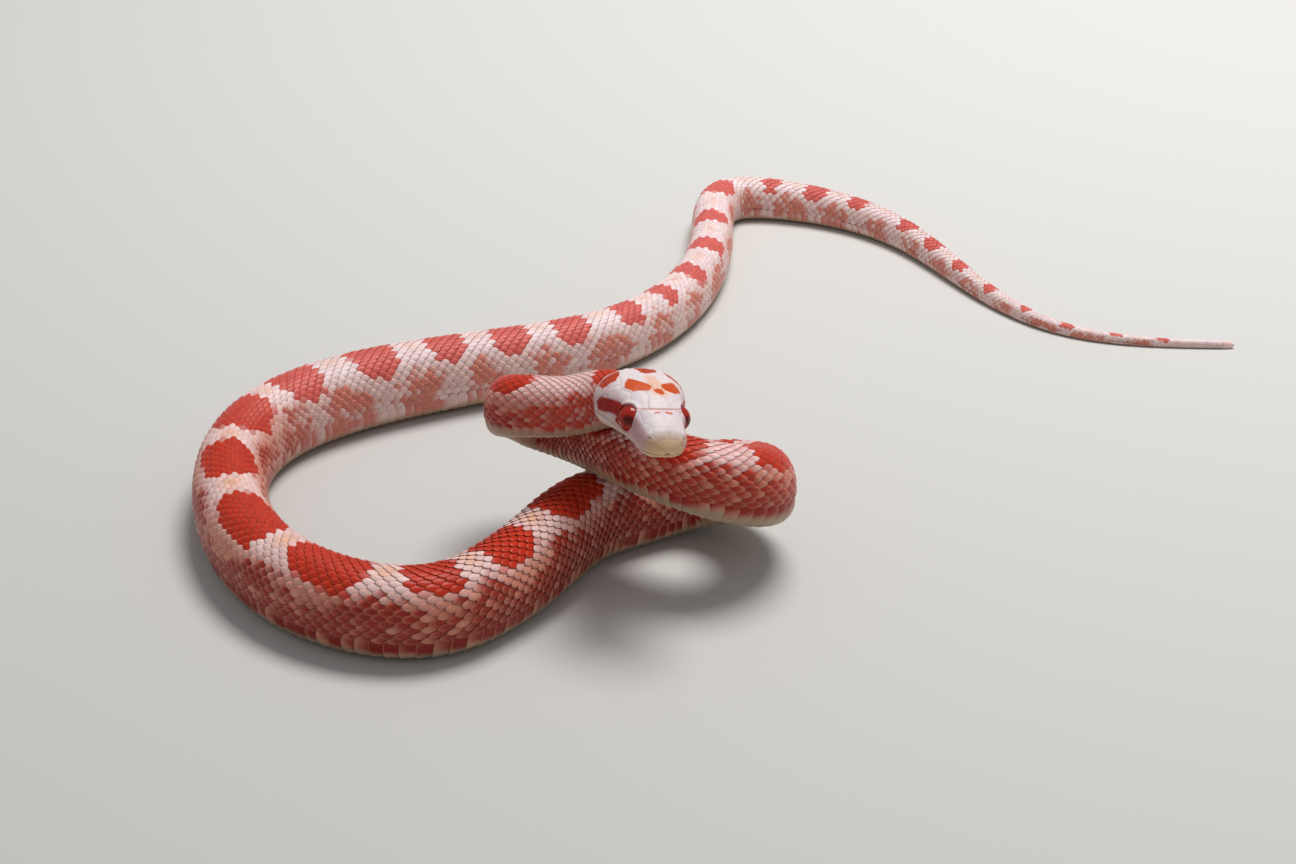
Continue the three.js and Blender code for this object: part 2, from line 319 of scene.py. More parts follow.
def section_point(angle, size):
    """Place in the section's plane: to the left, and up along the back's direction."""
    across, upward = np.sin(angle), np.cos(angle)
    upper = upward > 0
    tall = np.where(upper, size[..., 1], size[..., 2] * BELLY_FLATNESS)
    power = np.where(upper, BACK_ROUNDNESS, BELLY_ROUNDNESS)
    total = np.abs(across / size[..., 0]) ** power + np.abs(upward / tall) ** power
    radius = total ** (-1 / power)
    return radius * across, np.maximum(radius * upward, -size[..., 2])


def girth_table(samples=2000):
    """Share of the half girth at each angle from the back, on a section of the body."""
    angle = np.linspace(0, math.pi, samples)
    size = np.array([0.5, BACK_HEIGHT, BELLY_DEPTH]) * np.ones((samples, 1))
    x, y = section_point(angle, size)
    arc = np.concatenate([[0], np.cumsum(np.hypot(np.diff(x), np.diff(y)))])
    return angle, arc / arc[-1], arc[-1]


GIRTH_ANGLE, GIRTH_SHARE, HALF_GIRTH = girth_table()


def angle_of(girth):
    """Angle from the back at a share of the girth, which may run on past the belly's mid-line."""
    wrapped = (np.asarray(girth) + 1) % 2 - 1
    return np.sign(wrapped) * np.interp(np.abs(wrapped), GIRTH_SHARE, GIRTH_ANGLE)


def raw_surface(s, angle):
    point, _, back, left, width = spine_frame(s)
    x, y = section_point(angle, section_size(s, width))
    return point + x[..., None] * left + y[..., None] * back


def surface(s, girth, height=0.0):
    """Points that stand a height off the solids' outer surface, and its outward normals."""
    s = np.clip(s, 1e-4, LENGTH - 1e-3)
    angle = angle_of(girth)
    nudge = 2e-3
    step = np.minimum(nudge * 5, s * 0.5)
    point = raw_surface(s, angle)
    along = raw_surface(s + step, angle) - raw_surface(s - step, angle)
    around = raw_surface(s, angle + nudge) - raw_surface(s, angle - nudge)
    normal = unit(np.cross(around, along))
    outward = point - spine_frame(s)[0]
    normal *= np.sign(np.sum(normal * outward, -1, keepdims=True))
    return point + normal * np.asarray(height)[..., None], normal


def width_at(s):
    return np.interp(s, SPINE_AT, SPINE[:, 12])


def coat_depth(s):
    """How far the skin lies inside the solids."""
    return HEAD_COAT_DEPTH + (COAT_DEPTH * width_at(s) - HEAD_COAT_DEPTH) * smoothstep(12.5, 15.5, s)


# Markings

def nearest_place(s, middles, halves):
    """Signed place from the nearest middle, 1 at its half length away, and that middle's number."""
    flat = np.ravel(s)
    place = (flat[:, None] - middles) / halves
    number = np.abs(place).argmin(1)
    nearest = place[np.arange(len(flat)), number]
    return nearest.reshape(np.shape(s)), number.reshape(np.shape(s))


def gap_places(s):
    """Place from a gap's middle to the next saddle's, its half length there, and the gap's number."""
    starts, ends = SADDLES[:-1, 1], SADDLES[1:, 0]
    pitch = np.diff(SADDLES.mean(1)) / 2
    place, number = nearest_place(s, (starts + ends) / 2, pitch)
    return place, ((ends - starts) / 2 / pitch)[number], number


def saddle_share(s, girth, grain, wave, rear, coil):
    """How much a place lies in a saddle."""
    place, _ = nearest_place(s, SADDLES.mean(1), np.diff(SADDLES, axis=1)[:, 0] / 2)
    sway = SADDLE.sway * np.sin(s * 0.45 + 2 * np.sign(girth))
    reach = SADDLE.reach + sway + SADDLE.rear * rear + SADDLE.coil * coil
    outline = np.abs(place) ** SADDLE.end_power + (np.abs(girth) / reach) ** SADDLE.side_power
    return smoothstep(-SADDLE.soft, SADDLE.soft, 1 - outline + wave + SADDLE.grain * grain)


def flank_share(s, girth, grain, along, wave, rear, neck, raised, coil):
    """How much a place lies in the flank's red, which the pale bands and the belly close in.

    The numbers inside the sines only keep neighbouring marks from being alike.
    """
    side, hand = np.abs(girth), np.sign(girth)
    gap, _, number = gap_places(s)
    lean = BAND.lean * np.sin(number * 2.4 + 1.1 * hand + 1.6 * np.sign(gap))
    descent = (side - BAND.top) / (BAND.foot - BAND.top)
    half = BAND.half * (1 - BAND.narrower * smoothstep(*BAND.narrows, descent))
    below = descent - np.abs(gap) * (1 + lean) - half
    below = below - BAND.neck * neck - BAND.rear * rear + BAND.coil * coil
    end = FLANK.end - FLANK.raised * raised + FLANK.ragged * np.sin(s * 0.8 + number)
    blotch = FLANK.blotch - np.abs(gap) + FLANK.blotch_sway * np.sin(number * 1.7 + hand)
    flank = np.minimum(below / FLANK.fade, (end - side) / FLANK.edge)
    flank = np.minimum(flank, blend(FLANK.strength, blotch / FLANK.fade, rear))
    flank = np.minimum(flank, FLANK.strength - FLANK.neck * neck)
    patchy = FLANK.patches * np.sin(s * 0.9 + 5 * girth + number) * np.sin(s * 1.3 - 14 * side)
    flank = flank + FLANK.wave * wave + patchy
    flank = flank + (FLANK.grain + FLANK.neck_grain * neck) * grain
    flank = flank - (FLANK.tip + FLANK.coil_tip * coil) * along
    return smoothstep(*FLANK.soft, flank)


def pale_ground(s, side, grain, along, rear, neck, raised, nape):
    """Colour between the red marks: white on the back, duller and pinker down the sides."""
    aside = smoothstep(*DULLS, side)
    duller = mix(mix(FLANK_PALE, WHITE, PALE.neck_white * neck), REAR_PALE_PAINTED_LIGHT, rear)
    pale = mix(mix(WHITE, REAR_WHITE, rear), duller, aside)
    blush = PALE.blush * aside * (1 + grain) * (1 - REAR.blush * rear)
    pale = mix(pale, FLANK_RED, blush)
    root = 1 - smoothstep(*PALE.root, along)
    pale = mix(pale, NECK_RED, PALE.root_red * raised * root)
    pale = mix(pale, CROWN_WHITE, PALE.nape_white * nape)
    gap, gap_half, _ = gap_places(s)
    tinge = bell(gap / np.maximum(gap_half, TINGE.least_gap), TINGE.along)
    tinge = tinge * bell(side, TINGE.aside) * (1 - REAR.tinge * rear)
    return mix(pale, GAP_ORANGE, TINGE.strength * tinge * smoothstep(*TINGE_BEGINS, s))


def body_marking(s, girth, grain, along=0.0):
    """Colour of the body at a place, and how red it is.

    grain is a random number from -1 to 1, and along the place from a scale's root, -1, to its tip, 1.
    """
    side = np.abs(girth)
    rear = smoothstep(*REAR_BEGINS, s)
    neck = 1 - smoothstep(*NECK_ENDS, s)
    nape = 1 - smoothstep(*NAPE_ENDS, s)
    raised = 1 - smoothstep(*RAISED_ENDS, s)
    coil = smoothstep(*COIL_BEGINS, s) * raised
    wave = sum(size * np.sin(s * turns + around * girth) for size, turns, around in WAVES)
    in_saddle = saddle_share(s, girth, grain, wave, rear, coil)
    in_flank = flank_share(s, girth, grain, along, wave, rear, neck, raised, coil)

    colour = pale_ground(s, side, grain, along, rear, neck, raised, nape)
    deep = mix(mix(FLANK_RED, NECK_RED, np.maximum(neck, COIL_RED * coil)), FLANK_ROSE_PAINTED_LIGHT, rear)
    cover = (FLANK.cover - FLANK.rear_less * rear) * (1 - FLANK.nape_less * nape)
    colour = mix(colour, deep, cover * in_flank)
    colour = mix(colour, mix(SADDLE_RED, SADDLE_ROSE, REAR.rose * rear), in_saddle)
    lower = side + CREAM.raised * raised + CREAM.grain * (along - grain)
    cream = smoothstep(*CREAM_BEGINS, lower)
    # Painted shade: the lower side is darkened, less on the rear
    shade = 1 - SIDE_PAINTED_SHADE * smoothstep(*PAINTED_SHADE_SPAN, side) * (1 - REAR.shade * rear)
    return mix(colour, BELLY_CREAM_PAINTED_SHADE, cream) * shade[..., None], np.maximum(in_saddle, in_flank * (1 - cream))


DEGREES_PER_MM = 12


def mark(s, degrees, corners, soft=0.09):
    """Mask of one mark on the head, outlined by corners of distance and degrees from the crown."""
    x, y = s, degrees / DEGREES_PER_MM
    nearest = np.full(np.shape(s), 1e9)
    inside = np.zeros(np.shape(s), bool)
    points = [(at, turn / DEGREES_PER_MM) for at, turn in corners]
    for (ax, ay), (bx, by) in zip(points, points[1:] + points[:1]):
        dx, dy = bx - ax, by - ay
        f = np.clip(((x - ax) * dx + (y - ay) * dy) / (dx * dx + dy * dy), 0, 1)
        nearest = np.minimum(nearest, np.hypot(x - ax - f * dx, y - ay - f * dy))
        crosses = (ay > y) != (by > y)
        slope = dx / dy if abs(dy) > 1e-9 else 0
        inside ^= crosses & (x < ax + (y - ay) * slope)
    return smoothstep(-soft, soft, np.where(inside, nearest, -nearest))


# Head shields: name, and where it is seeded as (distance, degrees from the crown) on the left side.
# A shield with a seed off the mid-line is made on both sides, unless its name ends in _mid.
SHIELDS = (
    ("rostral_mid", ((0.12, 0), (0.3, 40), (0.35, 75))),
    ("internasal", ((1.35, 20), (1.3, 38))),
    ("prefrontal", ((2.7, 16), (3.7, 18), (3.9, 44))),
    ("frontal_mid", ((5.7, 0), (5.8, 13), (6.3, 0), (7.2, 0))),
    ("supraocular", ((6.1, 38), (6.6, 36), (7.2, 36))),
    ("parietal", ((8.9, 14), (10.2, 14), (11.6, 13), (9.2, 40), (10.6, 36))),
    ("nasal_front", ((0.95, 66),)),
    ("nasal_rear", ((1.75, 66),)),
    ("loreal", ((2.75, 68),)),
    ("preocular", ((4.1, 66),)),
    ("postocular_upper", ((8.15, 62),)),
    ("postocular_lower", ((8.1, 82),)),
    ("temporal_front", ((9.5, 68),)),
    ("temporal_low", ((9.9, 88),)),
    ("temporal_rear", ((11.1, 56),)),
    ("temporal_rear_low", ((11.5, 76),)),
    ("nape", ((12.9, 8),)),
    ("nape_side", ((12.6, 30),)),
    ("nape_edge", ((12.6, 50),)),
    ("mental_mid", ((0.35, 180),)),
    ("chin_front", ((2.6, 160), (3.3, 162))),
    ("chin_rear", ((4.9, 160), (5.6, 158))),
)
# Scales of the lips: how far along, and at which degrees from the crown the upper and lower ones lie
LIP_STEPS = (0.9, 2.0, 3.2, 4.4, 5.7, 7.2, 8.8, 10.5)
LIPS = Named(upper=99, lower=129, lower_shift=0.25)
# Rows of small scales under the throat
GULARS = Named(first=6.8, rows=6, step=1.15, degrees=13)

# Folds of the head's skin: how deep or high each is, and how wide
SUTURE = Named(deep=0.065, wide=0.055, shield_high=0.035, shield_edge=0.5, on_snout=0.4)
SNOUT_SHIELDS_END = (3.4, 5.2)
SHIELDS_END = (12.6, 13.6)
EYE_LINE = Named(at=4.75, bend=1.0, bend_by=58, deep=0.05, wide=0.08, ends=(52, 60))
LIP = Named(deep=0.16, wide=0.07, ends=(11.9, 12.5))
SOCKET = Named(high=0.13, off=0.12, wide=0.16)
BROW = Named(high=0.16, off=0.15, wide=0.30, begins=(0.3, 1.4))
NOSTRIL = Named(at=1.3, degrees=66, deep=0.22, wide=0.15)
# The notch at the front of the lips, where the tongue comes out: along, to the left and up
LINGUAL_GROOVE = np.array([0.12, 0.0, -0.62])
GROOVE = Named(deep=0.20, wide=0.26, stain=(0.16, 0.42))


def crown_degrees(angle):
    """Degrees from the crown, from -180 to 180 and positive to the left."""
    return np.degrees((angle + math.pi) % (2 * math.pi) - math.pi)


def off_eye(place, hand):
    """How far a place in the head's own frame lies off the ball of the left eye, 1, or the right, -1."""
    eye = np.array([EYE.along, hand * EYE.aside, EYE.above])
    return np.linalg.norm(place - eye, axis=1) - EYE.radius


def local_place(s, angle):
    """Place in the head's own frame: distance along the spine, to the left and up."""
    width = width_at(s)
    x, y = section_point(angle, section_size(s, width))
    return np.stack([s, x, y], -1)


def mouth_height(s):
    f = np.clip(s / MOUTH.corner_at, 0, 1)
    return MOUTH.front_height - MOUTH.dip * np.sin(math.pi * f * 0.8)


def shield_seeds():
    """Seeds of all the shields, each with the number of its shield."""
    shields = []
    for name, seeds in SHIELDS:
        if name.endswith("_mid"):
            shields.append([(s, side * a) for s, a in seeds for side in (1, -1)])
        else:
            shields += [[(s, side * a) for s, a in seeds] for side in (1, -1)]
    for s in LIP_STEPS:
        for side in (1, -1):
            shields.append([(s, side * LIPS.upper)])
            shields.append([(s + LIPS.lower_shift, side * LIPS.lower)])
    step = GULARS.step
    for row in range(GULARS.rows):
        s = GULARS.first + row * step
        shields += [[(s + 0.5 * step * (k % 2), 180 + GULARS.degrees * k)] for k in range(-2, 3)]
    numbers = np.concatenate([[i] * len(seeds) for i, seeds in enumerate(shields)])
    seeds = np.array([seed for group in shields for seed in group], float)
    return local_place(seeds[:, 0], np.radians(seeds[:, 1])), numbers


def head_relief(s, angle):
    """Height of the head's folds over its plain surface, and how near each point is to a suture."""
    place = local_place(s, angle)
    seeds, numbers = shield_seeds()
    nearest = np.full((numbers.max() + 1, len(s)), 1e9)
    for seed, number in zip(seeds, numbers):
        nearest[number] = np.minimum(nearest[number], np.linalg.norm(place - seed, axis=1))
    ordered = np.partition(nearest, 1, axis=0)
    edge = (ordered[1] - ordered[0]) / 2
    on_head = 1 - smoothstep(*SHIELDS_END, s)
    on_head = on_head * blend(SUTURE.on_snout, 1, smoothstep(*SNOUT_SHIELDS_END, s))
    suture = bell(edge, SUTURE.wide) * on_head
    relief = SUTURE.shield_high * smoothstep(0, SUTURE.shield_edge, edge) * on_head
    relief -= SUTURE.deep * suture
    degrees = crown_degrees(angle)
    line = bell(s - eye_line(degrees), EYE_LINE.wide)
    relief -= EYE_LINE.deep * line * (1 - smoothstep(*EYE_LINE.ends, np.abs(degrees)))
    relief -= GROOVE.deep * bell(np.linalg.norm(place - LINGUAL_GROOVE, axis=1), GROOVE.wide)

    lip = bell(place[:, 2] - mouth_height(s), LIP.wide) * (1 - smoothstep(*LIP.ends, s))
    lip *= np.cos(angle) < 0.3
    relief -= LIP.deep * lip

    nostril_turn = math.radians(NOSTRIL.degrees)
    for side in (1, -1):
        off = off_eye(place, side)
        relief += SOCKET.high * bell(off - SOCKET.off, SOCKET.wide)
        brow = bell(off - BROW.off, BROW.wide) * smoothstep(*BROW.begins, place[:, 2])
        relief += BROW.high * brow
        nostril = local_place(np.array([NOSTRIL.at]), np.array([side * nostril_turn]))
        relief -= NOSTRIL.deep * bell(np.linalg.norm(place - nostril, axis=1), NOSTRIL.wide)
    return relief, suture, lip


# Marks of the crown and the nape, each outlined by (distance, degrees to the left of the crown)
CROWN_MARKS = (
    # left, right and middle spots of the crown
    ((7.9, 33), (8.4, 19), (9.0, 20), (9.6, 36), (10.3, 49), (9.8, 57), (9.1, 61), (8.3, 51)),
    ((7.8, -14), (8.4, -2), (8.8, -5), (9.4, -19), (10.3, -36), (9.8, -45), (9.1, -50), (8.2, -41)),
    ((7.1, 12), (7.5, 22), (8.1, 18), (8.2, 6), (7.9, -3), (7.4, 1)),
    # right, middle and left patches of the nape
    ((10.7, -53), (11.1, -72), (13.4, -72), (15.2, -46), (15.0, -28), (13.0, -34), (11.6, -42)),
    ((11.1, -8), (11.0, 8), (11.5, 24), (13.0, 30), (15.6, 20), (15.6, -18)),
    ((10.7, 54), (11.1, 72), (13.4, 72), (15.2, 46), (15.0, 32), (13.0, 36), (11.6, 43)),
)
# Marks made on both sides: the stripe behind the eye, and the red under it
SIDE_MARKS = (
    ((6.6, 67), (8.0, 70), (9.4, 77), (10.8, 82), (11.5, 90), (10.9, 100), (9.6, 99), (8.6, 94),
     (6.6, 92)),
    ((4.9, 82), (6.6, 86), (7.6, 93), (7.7, 103), (6.5, 109), (5.4, 102)),
)
# Orange ground between the spots of the crown
HALO = ((6.7, 12), (7.4, 30), (8.6, 26), (10.6, 12), (10.4, -8), (9.0, -8), (7.6, -12))
# Red dashes before the line from eye to eye
DASHES = (
    ((4.12, 27), (4.02, 17), (4.10, 6), (4.38, 6), (4.34, 17), (4.40, 27)),
    ((4.10, -7), (4.10, -22), (4.36, -22), (4.34, -7)),
)


def eye_line(degrees):
    """Where along the head the suture from eye to eye lies, at degrees from the crown."""
    return EYE_LINE.at + EYE_LINE.bend * (degrees / EYE_LINE.bend_by) ** 2


def head_marking(s, angle, suture, lip):
    """Colour of the head: white crown with red marks, pink cheeks, tan rostral, pale lips and chin."""
    degrees = crown_degrees(angle)
    side = np.abs(degrees)
    cheek = smoothstep(56, 68, side) * (1 - 0.5 * smoothstep(5.5, 9, s))
    colour = mix(CROWN_WHITE, CHEEK_PINK, cheek * 0.9)
    colour = mix(colour, LIP_PALE, smoothstep(96, 112, side))
    colour = mix(colour, ROSTRAL_TAN, 0.9 * (1 - smoothstep(0.3, 2.0, s)))
    freckles = np.sin(s * 9.1 + 2 * np.sin(degrees * 0.31)) * np.sin(degrees * 0.73 + 3 * np.sin(s * 4.3))
    colour = mix(colour, SUTURE_PINK, 0.30 * smoothstep(0.45, 0.95, freckles) * smoothstep(5, 7, s))
    colour = mix(colour, SUTURE_PINK, 0.45 * suture)

    colour = mix(colour, GAP_ORANGE, 0.55 * mark(s, degrees, HALO, 0.5))
    for corners in CROWN_MARKS:
        colour = mix(colour, GAP_ORANGE, 0.5 * mark(s, degrees, corners, 0.28))
    deeper = mix(HEAD_RED, STRIPE_RED, 0.6 * smoothstep(10.2, 11.4, s))
    for corners in CROWN_MARKS:
        colour = mix(colour, deeper, mark(s, degrees, corners))
    line = bell(s - eye_line(degrees), 0.085) * (1 - smoothstep(56, 64, side))
    colour = mix(colour, SUTURE_RED, 0.75 * line)
    for corners in DASHES:
        colour = mix(colour, GAP_ORANGE, 0.35 * mark(s, degrees, corners, 0.3))
        colour = mix(colour, SUTURE_RED, 0.9 * mark(s, degrees, corners, 0.07))
    for corners in SIDE_MARKS:
        colour = mix(colour, STRIPE_RED, mark(s, side, corners, 0.14))
    place = local_place(s, angle)
    for hand in (1, -1):
        off = off_eye(place, hand)
        behind = np.maximum(smoothstep(0.0, 0.8, -place[:, 2]), smoothstep(6.6, 7.4, s))
        rim = (1 - smoothstep(0.03, 0.12, off)) * 0.5 + (1 - smoothstep(0.15, 0.45, off)) * 0.5 * behind
        colour = mix(colour, STRIPE_RED, rim)
    # Darker red at the notch at the front of the lips
    groove = 1 - smoothstep(*GROOVE.stain, np.linalg.norm(place - LINGUAL_GROOVE, axis=1))
    colour = mix(colour, STRIPE_RED * 0.6, 0.8 * groove)
    return mix(colour, SUTURE_PINK * 0.45, 0.7 * lip)


# Meshes

def new_object(name, data):
    made = bpy.data.objects.new(name, data)
    bpy.context.scene.collection.objects.link(made)
    return made


def make_mesh(name, points, faces, colours, material, patches=None):
    """A smooth mesh in metres.

    faces is a list of arrays, each of faces with the same number of corners. patches are the UVs by point.
    """
    mesh = bpy.data.meshes.new(name)
    points = points.reshape(-1, 3)
    points[:, 2] = np.maximum(points[:, 2], 0)
    mesh.vertices.add(len(points))
    mesh.vertices.foreach_set("co", (points * MM).astype(np.float32).ravel())
    corners = np.concatenate([part.ravel() for part in faces]).astype(np.int32)
    sizes = np.concatenate([np.full(len(part), part.shape[1]) for part in faces])
    starts = np.concatenate([[0], np.cumsum(sizes)[:-1]]).astype(np.int32)
    mesh.loops.add(len(corners))
    mesh.loops.foreach_set("vertex_index", corners)
    mesh.polygons.add(len(sizes))
    mesh.polygons.foreach_set("loop_start", starts)
    mesh.polygons.foreach_set("use_smooth", np.ones(len(sizes), bool))
    mesh.update(calc_edges=True)
    marking = mesh.color_attributes.new(name="Marking", type="FLOAT_COLOR", domain="POINT")
    rgba = np.ones((len(points), 4), np.float32)
    rgba[:, :3] = np.clip(colours.reshape(-1, 3), 0, 1)
    marking.data.foreach_set("color", rgba.ravel())
    if patches is not None:
        layer = mesh.uv_layers.new(name="OFBake")
        layer.data.foreach_set("uv", patches.reshape(-1, 2)[corners].astype(np.float32).ravel())
    mesh.materials.append(material)
    return new_object(name, mesh)


def ring_pairs(count):
    """Numbers of a ring's points, and of the point after each."""
    i = np.arange(count)
    return i, (i + 1) % count


# The skin's rings: points round the head and the body, and their distance apart on each
HEAD_POINTS = 320
BODY_POINTS = 80
HEAD_RING = 0.08
BODY_RING = 1.0
HEAD_RINGS_END = 15.4
SNOUT_RINGS = 40
TIP_RINGS = 10
# The skin carries the head's folds and marks up to here, and its marks give way to the body's
HEAD_PAINT_ENDS = 16.6
PAINT_CHANGES = (12.9, 14.1)
# Skin between the scales: rosy on the back, darker with painted shade on the sides, pale at the tail's very
# end
SKIN_BACK = (0.20, 0.34)
SKIN_SIDE_PAINTED_SHADE = 0.6
SKIN_ROSINESS = 0.5
SKIN_PALE_TIP = (2.4, 1.6)


def ring_rows():
    """Where the skin's rings lie along the spine, and how many points each has."""
    turns = np.linspace(0.02, math.pi / 2, SNOUT_RINGS)
    tip = SNOUT_ROUNDING * (1 - np.cos(turns))
    head = np.arange(SNOUT_ROUNDING + HEAD_RING, HEAD_RINGS_END, HEAD_RING)
    change = HEAD_RINGS_END + 0.2
    body = np.arange(change + 0.3, LENGTH - TIP_ROUNDING, BODY_RING)
    end = LENGTH - TIP_ROUNDING * (1 - np.sin(np.linspace(0.1, 1.45, TIP_RINGS)))
    s = np.concatenate([tip, head, [change], body, end])
    points = (HEAD_POINTS, HEAD_POINTS // 2, BODY_POINTS)
    return s, np.repeat(points, (len(tip) + len(head), 1, len(body) + len(end)))


def build_skin(material):
    s_rings, counts = ring_rows()
    starts = np.concatenate([[0], np.cumsum(counts)[:-1]])
    s = np.repeat(s_rings, counts)
    girth = np.concatenate([np.arange(n) * 2 / n - 1 for n in counts])
    angle = angle_of(girth)
    height = -coat_depth(s)
    on_head = s < HEAD_PAINT_ENDS
    relief, suture, lip = head_relief(s[on_head], angle[on_head])
    height[on_head] += relief
    points, _ = surface(s, girth, height)

    colours, _ = body_marking(s, girth, np.zeros(len(s)))
    on_back = 1 - smoothstep(*SKIN_BACK, np.abs(girth))
    # Painted shade: the skin in the gaps under the scales is darkened, more on the sides
    painted_shade_skin = colours * SKIN_GAP_PAINTED_SHADE * blend(SKIN_SIDE_PAINTED_SHADE, 1, on_back[:, None])
    colours = mix(painted_shade_skin, SKIN_ROSE, SKIN_ROSINESS * on_back)
    pale_from, pale_by = (LENGTH - left for left in SKIN_PALE_TIP)
    colours = mix(colours, REAR_PALE_PAINTED_LIGHT, smoothstep(pale_from, pale_by, s))
    painted = head_marking(s[on_head], angle[on_head], suture, lip)
    nape = smoothstep(*PAINT_CHANGES, s[on_head])
    colours[on_head] = mix(painted, colours[on_head], nape)

    quads, tris = [], []
    for r in range(len(counts) - 1):
        a, b = starts[r], starts[r + 1]
        n, m = counts[r], counts[r + 1]
        i, j = ring_pairs(m)
        if n == m:
            quads.append(np.stack([a + i, a + j, b + j, b + i], -1))
            continue
        tris.append(np.stack([a + 2 * i, a + 2 * i + 1, b + i], -1))
        tris.append(np.stack([a + 2 * i + 1, b + j, b + i], -1))
        tris.append(np.stack([a + 2 * i + 1, a + (2 * i + 2) % n, b + j], -1))
    for r, shift in ((0, 1), (-1, -1)):
        ring = starts[r] + np.arange(counts[r])
        tris.append(np.stack([ring, np.roll(ring, shift), np.full(len(ring), len(points))], -1))
        points = np.vstack([points, points[ring].mean(0)])
        colours = np.vstack([colours, colours[ring[r]]])
    return make_mesh("skin", points, [np.vstack(quads), np.vstack(tris)], colours, material)


# Scales

STRIPS = 12
PATCH = 0.003
# Where the first scales behind the head shields lie, and how far the last ones keep off the tail's tip
HEAD_SCALES_FROM = 12.6
LAST_SCALES = 1.5
# Where the first scutes lie, and how far the last ones keep off the tail's tip
SCUTES_FROM = 14.2
LAST_SCUTES = 1.9

# One scale: points round it, its rings as shares of its reach and rise, and its underside
SCALE_SIDES = 12
SCALE_RINGS = ((0.45, 0.93), (0.82, 0.60), (1.0, 0.0))
UNDERSIDE = -0.7
# How far a scale's root lies under the solids' surface and its tip rises, in depths of the coat
ROOT_SINKS = 1.15
TIP_RISES = 1.35
KEEL = Named(high=0.35, wide=0.16, ends=(0.15, 0.4), from_rise=0.4)
# Chance differences in a scale's length, tilt and brightness
LENGTH_VARIES = 0.05
TILT_VARIES = 0.02
BRIGHTNESS_VARIES = 0.10
# The colour of a scale's edge: partly its own rim colour, and on red scales partly a painted highlight
# toward the tip
EDGE = Named(
    power=0.65, flank=(0.2, 0.4), rear=(180, 215), rear_paler=0.6, pale_red=0.15, flank_red=0.65,
    flank_pale=0.85, root_share=0.25, strength=0.60, red_more=0.05,
)

# One scute: its outline along the body as place and height, and how its ends and edges are shaped
SCUTE_PROFILE = np.array([
    (-1, -0.9), (-0.55, 0.15), (0.2, 0.5), (0.84, 0.85), (1.0, 0.5), (0.97, -0.1), (0.1, -0.9),
])
SCUTE_STATIONS = 29
SCUTE = Named(
    half_length=0.64, back=0.05, bow=0.16, end_rounding=0.28, end_power=20,
    end_sinks=0.4, sink_power=12, height=0.95,
    rim_from=0.9, rim=0.30, rim_on_red=0.30, rim_shade=0.85,
)


def skin_patch(s, girth):
    """The root's place on an unwrap of the skin, laid as strips one above the other."""
    along = np.clip(s / LENGTH, 0, 0.9999) * STRIPS
    strip = np.floor(along)
    u = 0.01 + 0.98 * (along - strip)
    v = (strip + 0.03 + 0.94 * ((girth + 1) % 2) / 2) / STRIPS
    return np.stack([u, v], -1)


def row_share(s):
    """Row spacing of the scales as a share of the half girth."""
    return 2 * BELLY_EDGE / np.interp(s, ROWS_AT[:, 0], ROWS_AT[:, 1])


def row_ticks(first, last):
    """Distances along the spine, finely spaced, with the count of scale steps up to each."""
    fine = np.linspace(first, last, 20000)
    spacing = row_share(fine) * HALF_GIRTH * width_at(fine)
    steps = (fine[1] - fine[0]) / (ROW_STEP * spacing)
    return fine, np.cumsum(steps), spacing


def scale_lattice():
    """Where every scale of the back lies: distance, girth, row spacing and step along the row."""
    fine, count, spacing = row_ticks(HEAD_SCALES_FROM, LENGTH - LAST_SCALES)
    outermost = int(ROWS_AT[:, 1].max()) // 2
    found = []
    for row in range(-outermost, outermost + 1):
        ticks = np.arange(int(count[-1])) + (0.75 if row % 2 else 0.25)
        s = np.interp(ticks, count, fine)
        share = row_share(s)
        girth = row * share
        here = np.interp(s, fine, spacing)
        inside = np.abs(girth) <= BELLY_EDGE - 0.3 * share
        inside &= s > HEAD_SCALES_FROM + 1.1 - np.abs(girth)
        found.append(np.stack([s, girth, here, here * ROW_STEP], -1)[inside])
    return np.vstack(found)


def scale_form():
    """One scale's points: place along it from -1 to 1, place across it, and rise over its base plane."""
    turn = np.arange(SCALE_SIDES) * 2 * math.pi / SCALE_SIDES
    power = SCALE_CORNERS
    reach = (np.abs(np.cos(turn)) ** power + np.abs(np.sin(turn)) ** power) ** (-1 / power)
    along, across, rise = [0.0], [0.0], [1.0]
    for share, height in SCALE_RINGS:
        along += list(share * reach * np.cos(turn))
        across += list(share * reach * np.sin(turn))
        rise += [height] * SCALE_SIDES
    along.append(0.0)
    across.append(0.0)
    rise.append(UNDERSIDE)
    i, j = ring_pairs(SCALE_SIDES)
    fans = [np.stack([np.zeros(SCALE_SIDES, int), 1 + i, 1 + j], -1)]
    quads = []
    for r in range(len(SCALE_RINGS) - 1):
        inner, outer = 1 + r * SCALE_SIDES, 1 + (r + 1) * SCALE_SIDES
        quads.append(np.stack([inner + i, outer + i, outer + j, inner + j], -1))
    rim = 1 + (len(SCALE_RINGS) - 1) * SCALE_SIDES
    fans.append(np.stack([rim + j, rim + i, np.full(SCALE_SIDES, rim + SCALE_SIDES)], -1))
    return np.array(along), np.array(across), np.array(rise), np.vstack(quads), np.vstack(fans)


def repeated(faces, size, count):
    """The faces of one item of a piece, repeated for each of its items of so many points."""
    offsets = (np.arange(count) * size)[:, None, None]
    return [(part[None] + offsets).reshape(-1, part.shape[1]) for part in faces]


